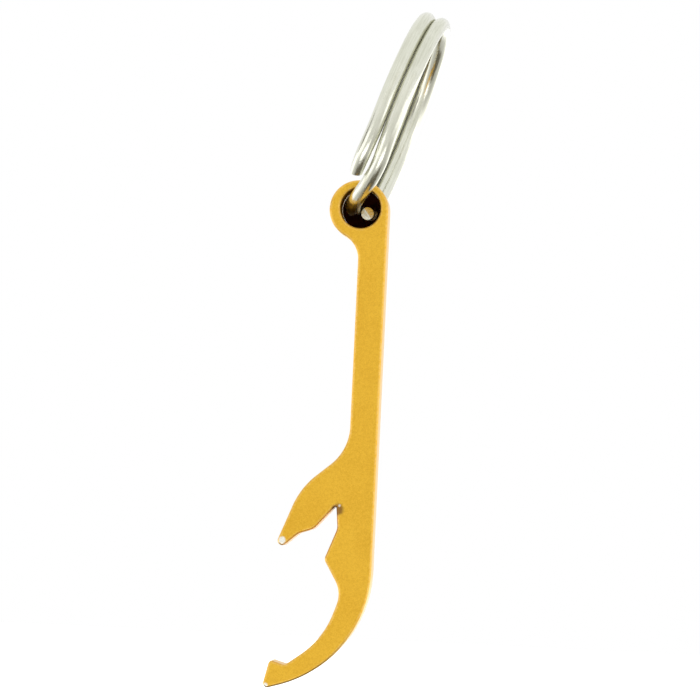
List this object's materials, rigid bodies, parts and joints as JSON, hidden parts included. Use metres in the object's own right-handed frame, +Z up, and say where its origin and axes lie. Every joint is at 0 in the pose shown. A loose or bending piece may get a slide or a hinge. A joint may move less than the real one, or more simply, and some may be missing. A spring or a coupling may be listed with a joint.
{
  "type": "keychain bottle opener",
  "caption": "Slim keychain bottle opener cut from extruded aluminium: round eye, straight handle, leaf, can notch and cap hook, hanging from a split ring.",
  "frame": {"origin": "the seat where a key or hook carries the split ring: the top of the ring's inner edge, midway between its two coils", "axes": "+Z up along the opener's straight spine, -Y out of the opener's front face, +X to the spine's side; the cap hook opens to -X"},
  "size_m": [0.0216, 0.0304, 0.095],
  "materials": {
    "nickel_steel_wire": "bright nickel plate on spring steel wire, finely scuffed",
    "gold_anodised_aluminium": "satin gold anodising with tumbled edges"
  },
  "bodies": {
    "ring": {"split_ring": "nickel_steel_wire"},
    "opener": {"opener_body": "gold_anodised_aluminium"}
  },
  "joints": [
    {"name": "opener_swing", "type": "hinge", "parent": "ring", "child": "opener", "pos_m": [-0.00866, 0, -0.02543], "axis": [0, 1, 0], "range_deg": [-144, 190]}
  ]
}
